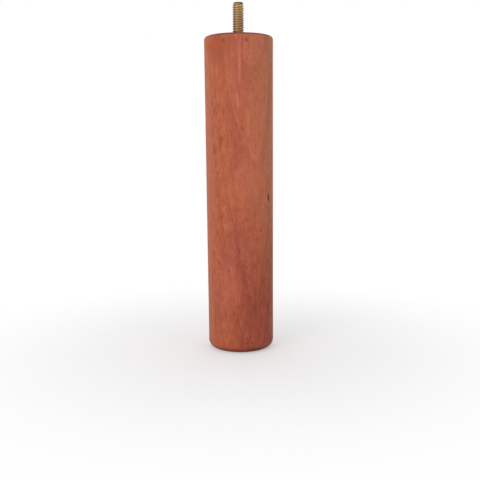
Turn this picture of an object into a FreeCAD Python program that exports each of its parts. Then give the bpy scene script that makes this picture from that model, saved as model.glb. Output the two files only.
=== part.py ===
# Turned wooden furniture leg with a hanger bolt screwed into its top.
# Millimetres, +Z up. The origin is the centre of the flat foot, so the leg stands on z = 0 and its
# stud points straight up, the way it screws into the plate or insert nut under the furniture.

import FreeCAD, Part
import math
import os

import Sketcher

os.makedirs("parts", exist_ok=True)
doc = FreeCAD.newDocument("furniture_leg")

# Driving dimensions, each written once. Every sketch, feature and placement below reads this sheet.
DIMENSIONS = [
    ("leg_len", "174"),          # wood alone, from the foot to the top face
    ("top_dia", "38"),           # across the wood at its top
    ("foot_dia", "37"),          # across the wood where it meets the floor, before its edge is rounded
    ("top_round", "1.8"),        # radius of the sanded rim at the top
    ("foot_round", "4.5"),       # radius of the softer rim at the foot
    ("stud_dia", "6.35"),        # outside of the 1/4-20 machine thread
    ("stud_reach", "18.3"),      # stud above the wood
    ("stud_chamfer", "0.8"),     # lead-in at the stud's tip
    ("shank_relief", "0.42"),    # the plain shank is smaller than the thread by this much all round
    ("shank_len", "7.1"),        # plain shank below the top face
    ("lag_relief", "0.55"),      # the core of the wood-screw end is smaller than the shank by this much
    ("lag_run_in", "1.2"),       # cone between the shank and that core
    ("lag_len", "20"),           # core of the wood-screw end, from the shank to its point
    ("gimlet_len", "5.4"),       # cone at the end
    ("gimlet_flat", "0.6"),      # blunt end of that cone
    ("fit_gap", "0.03"),         # air between the bolt and the bore, all round
    ("mouth_flare", "1.2"),      # countersink at the bore's mouth, as a width all round
    ("mouth_depth", "0.9"),      # depth of that countersink
    ("pilot_spare", "2"),        # bore left free past the end of the bolt
    ("drill_rise", "1.3"),       # height of the cone that the drill's tip leaves at the bottom
]

sheet = doc.addObject("Spreadsheet::Sheet", "Sizes")
for row, (alias, text) in enumerate(DIMENSIONS, start=1):
    sheet.set(f"A{row}", alias)
    sheet.set(f"B{row}", text)
    sheet.setAlias(f"B{row}", alias)
doc.recompute()


def origin_plane(body, role):
    """One of the body's own origin planes."""
    return next(item for item in body.Origin.OriginFeatures if item.Role == role)


def half_section(body, name, corners):
    """A closed outline in the body's XZ plane, through corners given as (radius, height) formulas."""
    sketch = body.newObject("Sketcher::SketchObject", name)
    sketch.AttachmentSupport = [(origin_plane(body, "XZ_Plane"), "")]
    sketch.MapMode = "FlatFace"
    count = len(corners)
    for i in range(count):
        start = FreeCAD.Vector(math.cos(math.tau * i / count), math.sin(math.tau * i / count), 0)
        end = FreeCAD.Vector(math.cos(math.tau * (i + 1) / count), math.sin(math.tau * (i + 1) / count), 0)
        sketch.addGeometry(Part.LineSegment(start, end), False)
    for i in range(count):
        sketch.addConstraint(Sketcher.Constraint("Coincident", i, 2, (i + 1) % count, 1))
    for i, corner in enumerate(corners):
        for kind, axis, formula in (("DistanceX", -2, corner[0]), ("DistanceY", -1, corner[1])):
            if formula == "0":
                sketch.addConstraint(Sketcher.Constraint("PointOnObject", i, 1, axis))
                continue
            number = sketch.addConstraint(Sketcher.Constraint(kind, -1, 1, i, 1, 1.0))
            sketch.setExpression(f"Constraints[{number}]", formula)
    doc.recompute()
    return sketch


def turn(body, kind, name, sketch):
    """Turn a half-section about the body's Z axis, adding to it or cutting from it."""
    feature = body.newObject(kind, name)
    feature.Profile = sketch
    feature.ReferenceAxis = (sketch, ["V_Axis"])
    feature.Angle = 360
    doc.recompute()
    return feature


def round_rim(body, name, base, height, radius):
    """Round the widest circular edge that lies at one height."""
    rims = []
    for number, edge in enumerate(base.Shape.Edges, start=1):
        if isinstance(edge.Curve, Part.Circle) and abs(edge.Curve.Center.z - height) < 1e-6:
            rims.append((edge.Curve.Radius, f"Edge{number}"))
    fillet = body.newObject("PartDesign::Fillet", name)
    fillet.Base = (base, [max(rims)[1]])
    fillet.setExpression("Radius", radius)
    doc.recompute()
    return fillet


# Turned leg
# One piece of hardwood, turned to a straight taper. Both rims are rounded, the foot's more than the top's.
leg = doc.addObject("PartDesign::Body", "turned_leg")
leg.Label = "turned_leg"
leg_outline = half_section(leg, "leg_outline", [
    ("0", "0"),
    ("Sizes.foot_dia / 2", "0"),
    ("Sizes.top_dia / 2", "Sizes.leg_len"),
    ("0", "Sizes.leg_len"),
])
taper = turn(leg, "PartDesign::Revolution", "taper", leg_outline)
foot_rim = round_rim(leg, "foot_rim", taper, 0.0, "Sizes.foot_round")
top_rim = round_rim(leg, "top_rim", foot_rim, sheet.leg_len, "Sizes.top_round")

# Pilot bore
# A blind stepped hole that follows the bolt: a countersunk mouth, a bore for the shank, a cone down to
# a smaller bore for the core of the wood-screw end, and the cone that a drill leaves at the bottom.
shank_radius = "(Sizes.stud_dia / 2 - Sizes.shank_relief)"
core_radius = f"({shank_radius} - Sizes.lag_relief)"
shank_bore = f"({shank_radius} + Sizes.fit_gap)"
pilot_bore = f"({core_radius} + Sizes.fit_gap)"
shank_end = "(Sizes.leg_len - Sizes.shank_len - Sizes.fit_gap)"
sunk_len = "(Sizes.shank_len + Sizes.lag_len + Sizes.gimlet_len)"
pilot_end = f"(Sizes.leg_len - {sunk_len} - Sizes.pilot_spare)"
bore_outline = half_section(leg, "bore_outline", [
    ("0", "Sizes.leg_len"),
    (f"{shank_bore} + Sizes.mouth_flare", "Sizes.leg_len"),
    (shank_bore, "Sizes.leg_len - Sizes.mouth_depth"),
    (shank_bore, shank_end),
    (pilot_bore, f"{shank_end} - Sizes.lag_run_in"),
    (pilot_bore, pilot_end),
    ("0", f"{pilot_end} - Sizes.drill_rise"),
])
bore = turn(leg, "PartDesign::Groove", "bore", bore_outline)
if bore.Shape.Volume >= top_rim.Shape.Volume:
    raise SystemExit("the bore cut nothing from the leg")

# Hanger bolt
# One piece of plated steel, half machine stud and half wood screw, drawn from its gimlet point up. It
# stands in the bore with its plain shank just under the wood's top face and its stud above it.
bolt = doc.addObject("PartDesign::Body", "hanger_bolt")
bolt.Label = "hanger_bolt"
core_end = "(Sizes.gimlet_len + Sizes.lag_len - Sizes.lag_run_in)"
stud_radius = "(Sizes.stud_dia / 2)"
stud_tip = f"({sunk_len} + Sizes.stud_reach)"
bolt_outline = half_section(bolt, "bolt_outline", [
    ("0", "0"),
    ("Sizes.gimlet_flat / 2", "0"),
    (core_radius, "Sizes.gimlet_len"),
    (core_radius, core_end),
    (shank_radius, "Sizes.gimlet_len + Sizes.lag_len"),
    (shank_radius, sunk_len),
    (stud_radius, sunk_len),
    (stud_radius, f"{stud_tip} - Sizes.stud_chamfer"),
    (f"{stud_radius} - Sizes.stud_chamfer", stud_tip),
    ("0", stud_tip),
])
turn(bolt, "PartDesign::Revolution", "blank", bolt_outline)
bolt.setExpression("Placement.Base.z", f"Sizes.leg_len - {sunk_len}")
doc.recompute()

# Each piece goes to its own file
for item in doc.Objects:
    if "Invalid" in item.State or "Error" in item.State:
        raise SystemExit(f"{item.Name} failed: {item.State}")
for piece in (leg, bolt):
    if piece.Shape.isNull() or not piece.Shape.isValid():
        raise SystemExit(f"{piece.Label} has no valid shape")
    piece.Shape.exportStep(f"parts/{piece.Label}.step")
    print(piece.Label, len(piece.Shape.Solids), round(piece.Shape.Volume, 3), piece.Shape.BoundBox)
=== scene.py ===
import math

import bmesh
import bpy
from mathutils import Matrix, Vector, noise


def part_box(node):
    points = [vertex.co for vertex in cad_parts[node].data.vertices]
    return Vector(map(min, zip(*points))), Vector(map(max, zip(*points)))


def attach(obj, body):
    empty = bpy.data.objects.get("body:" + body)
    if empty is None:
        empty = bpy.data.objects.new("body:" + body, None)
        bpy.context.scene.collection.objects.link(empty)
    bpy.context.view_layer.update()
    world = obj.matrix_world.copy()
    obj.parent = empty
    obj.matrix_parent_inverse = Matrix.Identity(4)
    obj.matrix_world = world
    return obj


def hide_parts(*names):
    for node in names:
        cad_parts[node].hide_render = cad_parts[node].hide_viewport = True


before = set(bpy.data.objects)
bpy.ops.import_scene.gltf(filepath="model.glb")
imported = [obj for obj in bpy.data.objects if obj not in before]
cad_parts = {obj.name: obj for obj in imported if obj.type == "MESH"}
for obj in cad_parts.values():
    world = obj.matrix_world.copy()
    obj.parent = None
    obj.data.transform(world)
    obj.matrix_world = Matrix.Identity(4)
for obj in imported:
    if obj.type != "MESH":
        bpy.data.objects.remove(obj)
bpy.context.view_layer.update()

# Turned leg
# One billet of close-grained hardwood, turned between centres to a straight taper, with both rims
# rounded and sanded. A stepped blind hole is bored up its axis for the bolt, with a countersunk mouth.
MM = 0.001
leg_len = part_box("turned_leg")[1].z
bolt_low, bolt_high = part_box("hanger_bolt")
stud_radius = bolt_high.x
foot_radius = 18.5 * MM
top_radius = 19 * MM
foot_round = 4.5 * MM
top_round = 1.8 * MM
shank_radius = stud_radius - 0.42 * MM
core_radius = shank_radius - 0.55 * MM
fit_gap = 0.03 * MM
mouth_radius = shank_radius + fit_gap + 1.2 * MM
mouth_depth = 0.9 * MM
shank_low = leg_len - 7.1 * MM
core_high = shank_low - 1.2 * MM
bore_low = bolt_low.z - 2 * MM
drill_rise = 1.3 * MM
leg_steps = 360
leg_rows = 205
rim_rows = 9
leg_crease = math.radians(35)
touch = 0.01 * MM
weld = 0.001 * MM

wood = bmesh.new()
half_section = [
    (0, 0), (foot_radius, 0), (top_radius, leg_len), (mouth_radius, leg_len),
    (shank_radius + fit_gap, leg_len - mouth_depth), (shank_radius + fit_gap, shank_low - fit_gap),
    (core_radius + fit_gap, core_high - fit_gap), (core_radius + fit_gap, bore_low),
    (0, bore_low - drill_rise),
]
corners = [wood.verts.new((radius, 0, height)) for radius, height in half_section]
outline = [wood.edges.new(pair) for pair in zip(corners, corners[1:])]
bmesh.ops.spin(wood, geom=corners + outline, cent=(0, 0, 0), axis=(0, 0, 1), dvec=(0, 0, 0),
               angle=math.tau, steps=leg_steps, use_merge=True, use_duplicate=False)
bmesh.ops.remove_doubles(wood, verts=wood.verts, dist=weld)


def radius_of(vert):
    """Distance of a vertex from the Z axis."""
    return math.hypot(vert.co.x, vert.co.y)


def ring_edges(mesh, height, radius):
    """The edges of the ring that lies at one height and radius."""
    ring = {v for v in mesh.verts
            if abs(v.co.z - height) < touch and abs(radius_of(v) - radius) < touch}
    return [e for e in mesh.edges if e.verts[0] in ring and e.verts[1] in ring]


for height, radius, size in ((0, foot_radius, foot_round), (leg_len, top_radius, top_round)):
    bmesh.ops.bevel(wood, geom=ring_edges(wood, height, radius), offset=size, offset_type="OFFSET",
                    segments=rim_rows, profile=0.5, affect="EDGES", material=-1)
side = [e for e in wood.edges
        if abs(e.verts[0].co.z - e.verts[1].co.z) > leg_len / 2 and radius_of(e.verts[0]) > foot_radius / 2]
bmesh.ops.subdivide_edges(wood, edges=side, cuts=leg_rows, use_grid_fill=True)
bmesh.ops.recalc_face_normals(wood, faces=wood.faces)

# What sanding leaves: the taper waves very slightly along its length, and the round is a little flat in
# places. Both only take wood away, so the leg stays inside its nominal size.
wave_depth = 0.03 * MM
wave_pitch = 9 * MM
wave_row = 7.3
wave_fade = 6 * MM
flat_depth = 0.04 * MM
flat_pitch = 60 * MM
flats_round = 1.3
side_radius = 0.8 * foot_radius
for vert in wood.verts:
    radius = radius_of(vert)
    if radius < side_radius or not foot_round < vert.co.z < leg_len - top_round:
        continue
    along = noise.noise(Vector((0, wave_row, vert.co.z / wave_pitch)))
    turned = Vector((vert.co.x / radius, vert.co.y / radius, vert.co.z / flat_pitch))
    around = noise.noise(turned * flats_round)
    cut = wave_depth * (0.5 + 0.5 * along) + flat_depth * (0.5 + 0.5 * around)
    from_rim = min(vert.co.z - foot_round, leg_len - top_round - vert.co.z)
    fade = min(1, from_rim / wave_fade)
    vert.co.xy *= 1 - max(0, cut * fade) / radius

# Bark pocket: a dark slit beside the grain, where a little inclusion has fallen out of the surface.
pocket_turn = math.radians(56.5)
pocket_mid = 86.5 * MM
pocket_half_length = 2.3 * MM
pocket_half_width = 0.65 * MM
pocket_depth = 0.35 * MM
pocket_hollow = 0.7
finer_height = 1.6 * pocket_half_length
finer_width = 2.4 * pocket_half_width
pocket_at = Vector((math.sin(pocket_turn), -math.cos(pocket_turn), 0))
pocket_across = Vector((math.cos(pocket_turn), math.sin(pocket_turn), 0))
near = [f for f in wood.faces
        if abs(f.calc_center_median().z - pocket_mid) < finer_height
        and f.calc_center_median().dot(pocket_at) > 0
        and abs(f.calc_center_median().dot(pocket_across)) < finer_width]
near_edges = list({e for f in near for e in f.edges})
bmesh.ops.subdivide_edges(wood, edges=near_edges, cuts=2, use_grid_fill=True)
for vert in wood.verts:
    if vert.co.dot(pocket_at) < foot_radius / 2:
        continue
    reach = math.hypot(vert.co.dot(pocket_across) / pocket_half_width,
                       (vert.co.z - pocket_mid) / pocket_half_length)
    if reach < 1:
        vert.co -= pocket_at * pocket_depth * (1 - reach * reach) ** pocket_hollow

# The share of end grain at each point: none on the side, all of it on the flat ends.
mouth_rim = 0.2 * MM
end_grain = wood.verts.layers.float.new("end_grain")
wood.normal_update()
for vert in wood.verts:
    vert[end_grain] = abs(vert.normal.z) if radius_of(vert) > mouth_radius + mouth_rim else 1.0

MATERIAL_STAINED = 0
MATERIAL_BARE = 1
for face in wood.faces:
    face.smooth = True
    in_bore = all(radius_of(v) < mouth_radius + touch for v in face.verts)
    above_foot = face.calc_center_median().z > foot_round
    face.material_index = MATERIAL_BARE if in_bore and above_foot else MATERIAL_STAINED
for edge in wood.edges:
    if len(edge.link_faces) == 2 and edge.calc_face_angle(0) > leg_crease:
        edge.smooth = False

leg_mesh = bpy.data.meshes.new("turned_leg_wood")
wood.to_mesh(leg_mesh)
wood.free()
leg = bpy.data.objects.new("turned_leg_wood", leg_mesh)
bpy.context.scene.collection.objects.link(leg)


def srgb(red, green, blue):
    """A colour as a painter's chart gives it, 0 to 255, turned into the linear values a shader takes."""
    linear = [(c / 255 + 0.055) / 1.055 for c in (red, green, blue)]
    return tuple(c ** 2.4 if c > 0.0405 else c / 12.92 for c in linear) + (1,)


def add_node(tree, kind, inputs=None, **settings):
    """Add a shader node with its settings, and fill its inputs with plain values or with links."""
    made = tree.nodes.new(kind)
    for name, value in settings.items():
        setattr(made, name, value)
    for socket, value in (inputs or {}).items():
        if isinstance(value, bpy.types.NodeSocket):
            tree.links.new(value, made.inputs[socket])
        else:
            made.inputs[socket].default_value = value
    return made


def calc(tree, operation, *values, clamp=False):
    """One step of arithmetic on numbers or sockets."""
    return add_node(tree, "ShaderNodeMath", dict(enumerate(values)), operation=operation,
                    use_clamp=clamp).outputs[0]


def stretch(tree, vector, scale):
    """Multiply a vector by one number along each axis."""
    return add_node(tree, "ShaderNodeVectorMath", {0: vector, 1: scale}, operation="MULTIPLY").outputs[0]


def grain_noise(tree, vector, scale, detail=2.0, roughness=0.5):
    """Fractal noise in a vector that is stretched by one number along each axis."""
    return add_node(tree, "ShaderNodeTexNoise",
                    {"Vector": stretch(tree, vector, scale), "Scale": 1.0, "Detail": detail,
                     "Roughness": roughness}).outputs["Fac"]


def ramp(tree, value, low, high, to_low=0.0, to_high=1.0):
    """A smooth step: value from low to high becomes to_low to to_high."""
    return add_node(tree, "ShaderNodeMapRange",
                    {"Value": value, "From Min": low, "From Max": high,
                     "To Min": to_low, "To Max": to_high},
                    interpolation_type="SMOOTHSTEP").outputs["Result"]


def blend_colour(tree, share, first, second, how="MIX"):
    """Mix two colours, or multiply the first by the second, by a share."""
    return add_node(tree, "ShaderNodeMix", {0: share, 6: first, 7: second}, data_type="RGBA",
                    blend_type=how).outputs[2]


# Wood figure, shared by the stained outside and the bare bore: growth rings about a pith that lies well
# outside the billet and leans a little to it, fibres and vessels along the grain, and rays across it.
figure = bpy.data.node_groups.new("wood_figure", "ShaderNodeTree")
figure.interface.new_socket("Vector", in_out="INPUT", socket_type="NodeSocketVector")
for name in ("Late wood", "Ring line", "Fibre", "Mottle", "Fleck", "Vessel", "Cloud", "Ray"):
    figure.interface.new_socket(name, in_out="OUTPUT", socket_type="NodeSocketFloat")
entry = figure.nodes.new("NodeGroupInput")
leaving = figure.nodes.new("NodeGroupOutput")
in_mm = stretch(figure, entry.outputs["Vector"], (1000, 1000, 1000))
pith_turn = math.radians(19.5 + 180)
pith_away = 40.0
pith_lean = 0.06
ring_width = 3.4
ring_shift = -0.46
bend = add_node(figure, "ShaderNodeTexNoise", {"Vector": stretch(figure, in_mm, (0.05, 0.05, 0.014)),
                                              "Scale": 1.0, "Detail": 2.0}).outputs["Color"]
bend = add_node(figure, "ShaderNodeVectorMath", {0: bend, 1: (0.5, 0.5, 0.5)},
                operation="SUBTRACT").outputs[0]
bend = stretch(figure, bend, (4, 4, 0))
bent = add_node(figure, "ShaderNodeVectorMath", {0: in_mm, 1: bend}, operation="ADD").outputs[0]
split = add_node(figure, "ShaderNodeSeparateXYZ", {0: bent})
drift = calc(figure, "MULTIPLY", split.outputs[2], pith_lean)
toward_x = calc(figure, "ADD", split.outputs[0], -pith_away * math.sin(pith_turn))
toward_y = calc(figure, "ADD", split.outputs[1], pith_away * math.cos(pith_turn))
ring_radius = calc(figure, "SQRT", calc(figure, "ADD", calc(figure, "MULTIPLY", toward_x, toward_x),
                                        calc(figure, "MULTIPLY", toward_y, toward_y)))
ring_radius = calc(figure, "ADD", ring_radius, drift)
uneven = add_node(figure, "ShaderNodeTexNoise",
                  {"W": calc(figure, "DIVIDE", ring_radius, 4.0), "Scale": 1.0, "Detail": 1.0},
                  noise_dimensions="1D").outputs["Fac"]
years = calc(figure, "ADD", calc(figure, "DIVIDE", ring_radius, ring_width), ring_shift)
years = calc(figure, "ADD", years, calc(figure, "MULTIPLY", uneven, 0.8))
in_year = calc(figure, "FRACT", years)
late_wood = calc(figure, "MULTIPLY", ramp(figure, in_year, 0.3, 0.86), ramp(figure, in_year, 0.96, 0.88))
ring_line = calc(figure, "MULTIPLY", ramp(figure, in_year, 0.88, 0.94), ramp(figure, in_year, 1.0, 0.95))
fibre = grain_noise(figure, bent, (1.3, 1.3, 0.06), detail=3.0, roughness=0.62)
mottle = grain_noise(figure, bent, (0.42, 0.42, 0.19), detail=3.0, roughness=0.6)
crowding = ramp(figure, grain_noise(figure, in_mm, (0.13, 0.13, 0.06)), 0.42, 0.62, 0.35, 1.0)
fleck = ramp(figure, grain_noise(figure, bent, (0.8, 0.8, 0.30), detail=2.0), 0.57, 0.70)
fleck = calc(figure, "MULTIPLY", fleck, crowding)
vessel = ramp(figure, grain_noise(figure, bent, (2.1, 2.1, 0.55), detail=1.0), 0.60, 0.74)
vessel = calc(figure, "MULTIPLY", vessel, crowding)
cloud = grain_noise(figure, in_mm, (0.085, 0.085, 0.03), detail=2.0, roughness=0.5)
ray_turn = calc(figure, "ARCTAN2", toward_y, toward_x)
ray_place = add_node(figure, "ShaderNodeCombineXYZ", {
    0: calc(figure, "MULTIPLY", ray_turn, 110.0), 1: calc(figure, "MULTIPLY", ring_radius, 0.12),
    2: calc(figure, "MULTIPLY", split.outputs[2], 0.5)}).outputs[0]
ray = ramp(figure, add_node(figure, "ShaderNodeTexNoise", {"Vector": ray_place, "Scale": 1.0,
                                                          "Detail": 1.0}).outputs["Fac"], 0.58, 0.70)
for name, value in (("Late wood", late_wood), ("Ring line", ring_line), ("Fibre", fibre),
                    ("Mottle", mottle), ("Fleck", fleck), ("Vessel", vessel), ("Cloud", cloud),
                    ("Ray", ray)):
    figure.links.new(value, leaving.inputs[name])

# Stained and lacquered wood: a red-brown stain that takes unevenly, darker in the vessels, in the late wood
# and where the rims turn into end grain, and a little yellower in the sapwood at the sides, under a thin
# satin lacquer. Toward the foot and on the right side it is darker, partly from stain and partly painted
# shade.
stained = bpy.data.materials.new("stained_wood")
stained.use_nodes = True
tree = stained.node_tree
shader = tree.nodes["Principled BSDF"]
place = add_node(tree, "ShaderNodeTexCoord").outputs["Object"]
grain = add_node(tree, "ShaderNodeGroup", {"Vector": place}, node_tree=figure).outputs
in_mm = stretch(tree, place, (1000, 1000, 1000))
STAIN_ORANGE = srgb(183, 98, 67)
STAIN_PINK = srgb(178, 93, 76)
STAIN_LIGHT = srgb(192, 110, 83)
STAIN_DARK = srgb(144, 73, 52)
STAIN_RUST = srgb(156, 75, 45)
STAIN_PALE_STREAK = srgb(202, 123, 96)
STAIN_END_GRAIN = srgb(98, 46, 31)
tone = blend_colour(tree, ramp(tree, grain["Cloud"], 0.38, 0.62), STAIN_ORANGE, STAIN_PINK)
spot = add_node(tree, "ShaderNodeSeparateXYZ", {0: in_mm})
sapwood = calc(tree, "MULTIPLY", ramp(tree, spot.outputs[0], -2.0, 14.0),
               ramp(tree, spot.outputs[2], 20.0, 112.0, 0.15, 0.75))
sapwood = calc(tree, "MAXIMUM", sapwood, ramp(tree, spot.outputs[0], -11.0, -17.5, 0.0, 0.6))
tone = blend_colour(tree, sapwood, tone, srgb(188, 117, 84))
tone = blend_colour(tree, ramp(tree, grain["Mottle"], 0.46, 0.66, 0.0, 0.75), tone, STAIN_LIGHT)
tone = blend_colour(tree, ramp(tree, grain["Mottle"], 0.46, 0.30, 0.0, 0.30), tone, STAIN_DARK)
tone = blend_colour(tree, ramp(tree, grain["Fibre"], 0.52, 0.72, 0.0, 0.26), tone, STAIN_PALE_STREAK)
tone = blend_colour(tree, ramp(tree, grain["Fibre"], 0.46, 0.28, 0.0, 0.28), tone, STAIN_DARK)
tone = blend_colour(tree, calc(tree, "MULTIPLY", grain["Late wood"], 0.22), tone, STAIN_DARK)
tone = blend_colour(tree, calc(tree, "MULTIPLY", grain["Ring line"], 0.17), tone, STAIN_PALE_STREAK)
tone = blend_colour(tree, calc(tree, "MULTIPLY", grain["Fleck"], 0.55), tone, STAIN_RUST)
tone = blend_colour(tree, calc(tree, "MULTIPLY", grain["Vessel"], 0.5), tone, srgb(122, 54, 33))

# Darker in the lower half, most on the right side: partly stain that settled heavier there, partly painted
# shade. The far right side is painted a little darker and less red along its whole height, as shade.
# Partly stain, partly painted shade: darker toward the foot and the right side.
settled_stain_and_shade = calc(tree, "MULTIPLY", ramp(tree, spot.outputs[2], 104.0, 24.0),
               ramp(tree, spot.outputs[0], -12.0, 9.0, 0.3, 1.0))
tone = blend_colour(tree, settled_stain_and_shade, tone, srgb(223, 209, 210), how="MULTIPLY")
# Painted shade: the far right side is darker and less red.
painted_right_shade = ramp(tree, spot.outputs[0], 12.5, 17.5)
tone = blend_colour(tree, painted_right_shade, tone, srgb(238, 247, 247), how="MULTIPLY")

# Marks of this one piece of wood, with a painted sheen and a patch of painted bounce light among them, each
# as the turn about the axis from the front in degrees, and the height, half width and half height in
# millimetres.
# The first pale streak, at the front near the top, is a painted sheen; the others are pale streaks in the
# wood.
PALE_STREAKS_AND_SHEEN = [(1, 159, 1.2, 11), (14.5, 126, 0.9, 8), (-2, 139, 0.9, 5), (54, 86.7, 1.0, 3.2)]
RUST_FLECKS = [(-46, 133, 1.1, 2.6), (-46, 112.7, 1.4, 3.0), (-26.5, 133, 0.9, 2.4), (-33, 116.4, 1.0, 2.2),
               (5.8, 123.7, 0.9, 1.6), (-33, 76.5, 1.3, 1.7), (-41, 67.2, 1.3, 2.1), (-3.7, 80.6, 0.9, 1.6),
               (9.5, 75.1, 1.1, 1.3), (-39, 50.8, 1.2, 1.5), (-20.8, 46.8, 1.0, 1.3), (32, 8.3, 2.2, 1.4)]
# The last orange patch, low on the left at the foot, is painted light bounced from the table; the two near
# the top are orange patches in the wood.
ORANGE_PATCHES_AND_BOUNCE = [(-42, 168.4, 5.6, 2.3), (-62, 168.8, 3.0, 1.8), (-40, 5.6, 5.0, 1.6)]
LIGHT_PATCHES = [(-18, 38, 6, 15), (19, 97, 7, 15)]
DULL_PATCHES = [(-34, 167, 11, 9)]
DARK_SPOTS = [(-25, 170, 1.2, 1.3), (12, 169.9, 1.0, 1.1), (9.8, 5.9, 0.9, 0.9), (19.8, 5.7, 0.8, 0.9)]
OLIVE_LINES = [(-50.3, 19, 0.7, 11)]
POCKET_FILL = [(56.5, 86.5, 1.0, 2.8)]


def marks_and_painted_light(tree, in_mm, places):
    """A mask that is one inside each of the listed places on the leg's side and fades out round them."""
    mask = 0.0
    for turn, height, half_width, half_height in places:
        share = height * MM / leg_len
        radius = (foot_radius + (top_radius - foot_radius) * share) / MM
        centre = (radius * math.sin(math.radians(turn)), -radius * math.cos(math.radians(turn)), height)
        offset = add_node(tree, "ShaderNodeVectorMath", {0: in_mm, 1: centre},
                          operation="SUBTRACT").outputs[0]
        offset = stretch(tree, offset, (1 / half_width, 1 / half_width, 1 / half_height))
        reach = add_node(tree, "ShaderNodeVectorMath", {0: offset}, operation="LENGTH").outputs["Value"]
        mask = calc(tree, "MAXIMUM", mask, ramp(tree, reach, 1.3, 0.3))
    return mask


for places, colour, share in ((LIGHT_PATCHES, srgb(204, 118, 92), 0.28),
                              (DULL_PATCHES, srgb(158, 84, 60), 0.6),
                              (PALE_STREAKS_AND_SHEEN, srgb(206, 124, 96), 0.5),
                              (RUST_FLECKS, STAIN_RUST, 0.6),
                              (ORANGE_PATCHES_AND_BOUNCE, srgb(186, 86, 40), 0.58),
                              (DARK_SPOTS, srgb(122, 58, 38), 0.6),
                              (OLIVE_LINES, srgb(138, 84, 46), 0.6),
                              (POCKET_FILL, srgb(84, 32, 20), 0.95)):
    mask = marks_and_painted_light(tree, in_mm, places)
    tone = blend_colour(tree, calc(tree, "MULTIPLY", mask, share), tone, colour)

end_share = add_node(tree, "ShaderNodeAttribute", attribute_name="end_grain").outputs["Fac"]
tone = blend_colour(tree, ramp(tree, end_share, 0.25, 0.85, 0.0, 0.85), tone, STAIN_END_GRAIN)
for figure_part, share, colour in (("Late wood", 0.5, srgb(66, 29, 20)),
                                   ("Ring line", 0.3, srgb(138, 74, 50)),
                                   ("Ray", 0.3, srgb(150, 84, 56))):
    on_end = calc(tree, "MULTIPLY", grain[figure_part], calc(tree, "MULTIPLY", end_share, share))
    tone = blend_colour(tree, calc(tree, "MULTIPLY", on_end, ramp(tree, end_share, 0.4, 0.8)), tone, colour)
tree.links.new(tone, shader.inputs["Base Color"])
tree.links.new(ramp(tree, grain["Mottle"], 0.3, 0.7, 0.62, 0.52), shader.inputs["Roughness"])
shader.inputs["Specular IOR Level"].default_value = 0.06
shader.inputs["Coat Weight"].default_value = 0.03
shader.inputs["Coat Roughness"].default_value = 0.3
relief = calc(tree, "SUBTRACT", grain["Fibre"], calc(tree, "MULTIPLY", grain["Vessel"], 0.8))
bump = add_node(tree, "ShaderNodeBump", {"Strength": 0.25, "Distance": 0.06 * MM, "Height": relief})
tree.links.new(bump.outputs[0], shader.inputs["Normal"])

# Bare wood inside the bore, which the stain never reached.
bare = bpy.data.materials.new("bare_wood")
bare.use_nodes = True
tree = bare.node_tree
shader = tree.nodes["Principled BSDF"]
place = add_node(tree, "ShaderNodeTexCoord").outputs["Object"]
grain = add_node(tree, "ShaderNodeGroup", {"Vector": place}, node_tree=figure).outputs
tone = blend_colour(tree, grain["Late wood"], srgb(205, 170, 128), srgb(176, 134, 94))
tone = blend_colour(tree, calc(tree, "MULTIPLY", grain["Vessel"], 0.6), tone, srgb(140, 98, 64))
tree.links.new(tone, shader.inputs["Base Color"])
shader.inputs["Roughness"].default_value = 0.8

leg.data.materials.append(stained)
leg.data.materials.append(bare)
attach(leg, "root")
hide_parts("turned_leg")

# Hanger bolt
# One piece of steel wire, plated with yellow zinc and screwed into the leg. It has a rolled machine thread
# above the wood, taken as 1/4-20, then a plain shank and a coarse wood-screw thread with a gimlet point.
machine_pitch = 1.27 * MM
machine_root = stud_radius - 0.76 * MM
stud_chamfer = 0.8 * MM
lead_in = 2.4 * MM
lead_depth = 0.32 * MM
machine_steps = 72
run_out = 1.1 * MM
thread_phase = math.radians(-110)
lag_pitch = 2.54 * MM
lag_crest = stud_radius - 0.1 * MM
lag_steps = 48
lag_run_out = 2 * MM
gimlet_high = bolt_low.z + 5.4 * MM
point_radius = 0.3 * MM
bolt_crease = math.radians(50)
thread_weld = 0.002 * MM
cut_reach = 0.0005 * MM
ring_reach = 0.005 * MM

# Each form is one pitch of thread, as (share of the pitch, share of the depth).
ROLLED_FORM = [(0, 1), (0.07, 0.985), (0.125, 0.9), (0.415, 0.1), (0.455, 0.015), (0.5, 0),
               (0.545, 0.015), (0.585, 0.1), (0.875, 0.9), (0.93, 0.985), (1, 1)]
WOOD_SCREW_FORM = [(0, 1), (0.34, 1), (0.4, 0.92), (0.485, 0.06), (0.5, 0), (0.515, 0.06), (0.6, 0.92),
                   (0.66, 1), (1, 1)]


def wind_thread(form, crest, root, pitch, low, high, steps):
    """Wind one pitch of thread form up the Z axis as a right-hand helix, cut off flat at both ends."""
    rod = bmesh.new()
    turns = math.ceil((high - low) / pitch) + 2
    start = low - pitch
    chain = [rod.verts.new((crest - depth * (crest - root), 0, start + share * pitch))
             for share, depth in form]
    joined = [rod.edges.new(pair) for pair in zip(chain, chain[1:])]
    bmesh.ops.spin(rod, geom=chain + joined, cent=(0, 0, 0), axis=(0, 0, 1), dvec=(0, 0, pitch / steps),
                   angle=math.tau * turns, steps=steps * turns, use_merge=False, use_duplicate=False)
    bmesh.ops.remove_doubles(rod, verts=rod.verts, dist=thread_weld)
    for height, above, below in ((low, False, True), (high, True, False)):
        everything = rod.verts[:] + rod.edges[:] + rod.faces[:]
        bmesh.ops.bisect_plane(rod, geom=everything, dist=cut_reach, plane_co=(0, 0, height),
                               plane_no=(0, 0, 1), clear_outer=above, clear_inner=below)
    return rod


def open_ring(mesh, height):
    """The border edges of a mesh that lie at one height."""
    return [e for e in mesh.edges
            if e.is_boundary and all(abs(v.co.z - height) < ring_reach for v in e.verts)]


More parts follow.
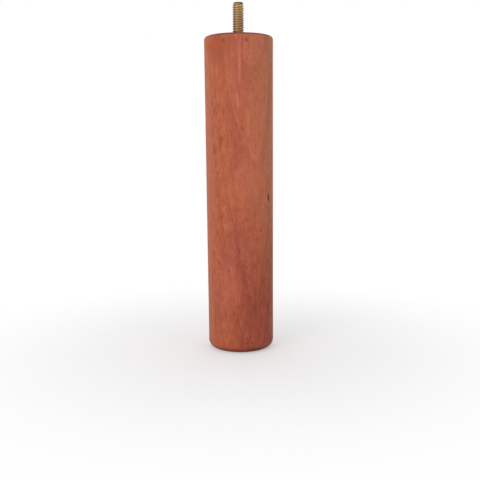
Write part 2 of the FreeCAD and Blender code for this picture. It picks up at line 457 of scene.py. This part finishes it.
stud = wind_thread(ROLLED_FORM, stud_radius, machine_root, machine_pitch, leg_len - run_out, bolt_high.z,
                   machine_steps)
for vert in stud.verts:
    radius = radius_of(vert)
    into_lead = (vert.co.z - (bolt_high.z - lead_in)) / (lead_in - stud_chamfer)
    over = max(0, vert.co.z - (bolt_high.z - stud_chamfer)) / stud_chamfer
    if into_lead > 0:
        limit = stud_radius - lead_depth * min(1, into_lead) - (stud_chamfer - lead_depth) * over
        vert.co.xy *= min(1, limit / radius)
    under = (leg_len - vert.co.z) / run_out
    if under > 0:
        vert.co.xy *= (radius + (shank_radius - radius) * min(1, under)) / radius
bmesh.ops.edgeloop_fill(stud, edges=open_ring(stud, bolt_high.z))
shank = bmesh.ops.extrude_edge_only(stud, edges=open_ring(stud, leg_len - run_out))
for item in shank["geom"]:
    if isinstance(item, bmesh.types.BMVert):
        item.co.z = shank_low

bolt_mesh = bpy.data.meshes.new("hanger_bolt_threaded")
lag = wind_thread(WOOD_SCREW_FORM, lag_crest, core_radius, lag_pitch, bolt_low.z, core_high, lag_steps)
for vert in lag.verts:
    radius = radius_of(vert)
    rise = (vert.co.z - bolt_low.z) / (gimlet_high - bolt_low.z)
    if rise < 1:
        vert.co.xy *= (point_radius + (radius - point_radius) * rise) / radius
    under = (core_high - vert.co.z) / lag_run_out
    if under < 1 and radius > core_radius:
        vert.co.xy *= (core_radius + (radius - core_radius) * under) / radius
bmesh.ops.edgeloop_fill(lag, edges=open_ring(lag, bolt_low.z))
lag.to_mesh(bolt_mesh)
lag.free()
stud.from_mesh(bolt_mesh)
bmesh.ops.bridge_loops(stud, edges=open_ring(stud, shank_low) + open_ring(stud, core_high))
bmesh.ops.remove_doubles(stud, verts=stud.verts, dist=thread_weld)
bmesh.ops.recalc_face_normals(stud, faces=stud.faces)
bmesh.ops.rotate(stud, verts=stud.verts, cent=(0, 0, 0), matrix=Matrix.Rotation(thread_phase, 3, "Z"))
for face in stud.faces:
    face.smooth = True
for edge in stud.edges:
    if len(edge.link_faces) == 2 and edge.calc_face_angle(0) > bolt_crease:
        edge.smooth = False
stud.to_mesh(bolt_mesh)
stud.free()
bolt = bpy.data.objects.new("hanger_bolt_threaded", bolt_mesh)
bpy.context.scene.collection.objects.link(bolt)

# Yellow zinc plating: a warm gold, more coppery toward the wood, dark brown in the thread roots, partly
# from oil and dust and partly painted shade, dull grey-brown over the last of the tip, and darker at
# glancing angles, where a dark edge tint paints the reflection of dark surroundings.
plating = bpy.data.materials.new("yellow_zinc")
plating.use_nodes = True
tree = plating.node_tree
shader = tree.nodes["Principled BSDF"]
place = add_node(tree, "ShaderNodeTexCoord").outputs["Object"]
in_mm = stretch(tree, place, (1000, 1000, 1000))
across = add_node(tree, "ShaderNodeVectorMath", {0: stretch(tree, in_mm, (1, 1, 0))},
                  operation="LENGTH").outputs["Value"]
mottle = grain_noise(tree, in_mm, (0.6, 0.6, 0.35), detail=3.0)
height = add_node(tree, "ShaderNodeSeparateXYZ", {0: in_mm}).outputs[2]
dust_and_shade_starts = 0.42
dust_and_shade_full = 0.74
tip_dark_starts = 1.5
tip_dark_full = 0.7
yellow = srgb(212, 190, 148)
copper = srgb(206, 178, 150)
up_stud = ramp(tree, height, leg_len / MM, bolt_high.z / MM)
hue = calc(tree, "ADD", up_stud, calc(tree, "MULTIPLY", mottle, 0.8))
gold = blend_colour(tree, ramp(tree, hue, 0.5, 1.3), copper, yellow)
# The thread roots are darker: partly oil and dust, partly painted shade.
groove_dirt_and_shade = ramp(tree, across, stud_radius / MM - dust_and_shade_starts, stud_radius / MM - dust_and_shade_full)
gold = blend_colour(tree, calc(tree, "MULTIPLY", groove_dirt_and_shade, 0.65), gold, srgb(130, 94, 62))
# Darker and greyer over the last 1.5 mm of the tip.
tip_darkening = ramp(tree, height, bolt_high.z / MM - tip_dark_starts, bolt_high.z / MM - tip_dark_full, 0.0, 0.9)
gold = blend_colour(tree, tip_darkening, gold, srgb(112, 100, 76))
tree.links.new(gold, shader.inputs["Base Color"])
tree.links.new(calc(tree, "ADD", calc(tree, "MULTIPLY", groove_dirt_and_shade, 0.1), 0.36), shader.inputs["Roughness"])
shader.inputs["Metallic"].default_value = 1.0
# Painted reflection: a dark brown edge tint darkens the plating at glancing angles, in place of dark
# surroundings.
shader.inputs["Specular Tint"].default_value = srgb(96, 62, 40)
bolt.data.materials.append(plating)
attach(bolt, "root")
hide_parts("hanger_bolt")

# Studio floor
# A pale plain table top that fades into the white background away from the leg.
floor_radius = 6.0
floor_sides = 96
fade_starts = 0.03
fade_ends = 0.20
least_white = 0.35
floor_mesh = bpy.data.meshes.new("floor")
disc = bmesh.new()
bmesh.ops.create_circle(disc, cap_ends=True, radius=floor_radius, segments=floor_sides)
disc.to_mesh(floor_mesh)
disc.free()
floor = bpy.data.objects.new("floor", floor_mesh)
bpy.context.scene.collection.objects.link(floor)
floor_paint = bpy.data.materials.new("floor_paint")
floor_paint.use_nodes = True
tree = floor_paint.node_tree
shader = tree.nodes["Principled BSDF"]
shader.inputs["Base Color"].default_value = (0.92, 0.92, 0.92, 1)
shader.inputs["Roughness"].default_value = 0.9
shader.inputs["Specular IOR Level"].default_value = 0.2
white = add_node(tree, "ShaderNodeEmission", {"Color": (1, 1, 1, 1), "Strength": 1.0})
place = add_node(tree, "ShaderNodeTexCoord").outputs["Object"]
away = add_node(tree, "ShaderNodeVectorMath", {0: place}, operation="LENGTH").outputs["Value"]
rays = add_node(tree, "ShaderNodeLightPath")
seen = calc(tree, "ADD", rays.outputs["Is Camera Ray"], rays.outputs["Is Glossy Ray"])
seen = calc(tree, "ADD", seen, rays.outputs["Is Transmission Ray"], clamp=True)
share = calc(tree, "MULTIPLY", ramp(tree, away, fade_starts, fade_ends, least_white, 1.0), seen)
fade = add_node(tree, "ShaderNodeMixShader", {0: share, 1: shader.outputs[0], 2: white.outputs[0]})
tree.links.new(fade.outputs[0], tree.nodes["Material Output"].inputs["Surface"])
floor.data.materials.append(floor_paint)

# Studio light
# A white surround, a wide soft lamp high on the left in front, a small weak one low on the right in front
# that draws a bright line on the plating, and two weak lamps that shape the back.
world = bpy.data.worlds.new("studio")
bpy.context.scene.world = world
world.use_nodes = True
tree = world.node_tree
rays = add_node(tree, "ShaderNodeLightPath")
ambient = 0.72
seen = calc(tree, "ADD", rays.outputs["Is Camera Ray"], rays.outputs["Is Glossy Ray"])
seen = calc(tree, "ADD", seen, rays.outputs["Is Transmission Ray"], clamp=True)
strength = calc(tree, "ADD", calc(tree, "MULTIPLY", seen, 1 - ambient), ambient)
tree.nodes["Background"].inputs["Color"].default_value = (1, 1, 1, 1)
tree.links.new(strength, tree.nodes["Background"].inputs["Strength"])

for name, spot, size, power in (("key", (-0.75, -0.95, 0.65), 0.8, 4.3),
                                ("front_right", (0.62, -0.66, 0.35), 0.16, 0.3),
                                ("back_left", (-0.45, 1.1, 0.6), 0.6, 1.2),
                                ("back_right", (0.35, 1.1, 0.5), 0.6, 1.2)):
    data = bpy.data.lights.new(name, "AREA")
    data.size = size
    data.energy = power
    lamp = bpy.data.objects.new(name, data)
    lamp.location = spot
    lamp.rotation_euler = (Vector((0, 0, leg_len / 2)) - lamp.location).to_track_quat("-Z", "Y").to_euler()
    bpy.context.scene.collection.objects.link(lamp)

# Camera
# It stands in front of the leg a little above its middle, looks slightly down, and leans by half a degree.
eye_away = 407.5 * MM
eye_height = 115.5 * MM
eye_aside = -0.14 * MM
look_down = math.radians(7.548)
lean = math.radians(-0.512)
camera_data = bpy.data.cameras.new("camera")
camera_data.sensor_width = 36
camera_data.lens = 54.10
camera_data.clip_start = 0.01
camera = bpy.data.objects.new("camera", camera_data)
camera.location = (eye_aside, -eye_away, eye_height)
aim = Matrix.Rotation(math.pi / 2 - look_down, 3, "X") @ Matrix.Rotation(lean, 3, "Z")
camera.rotation_euler = aim.to_euler()
bpy.context.scene.collection.objects.link(camera)
bpy.context.scene.camera = camera
bpy.context.scene.view_settings.view_transform = "Standard"
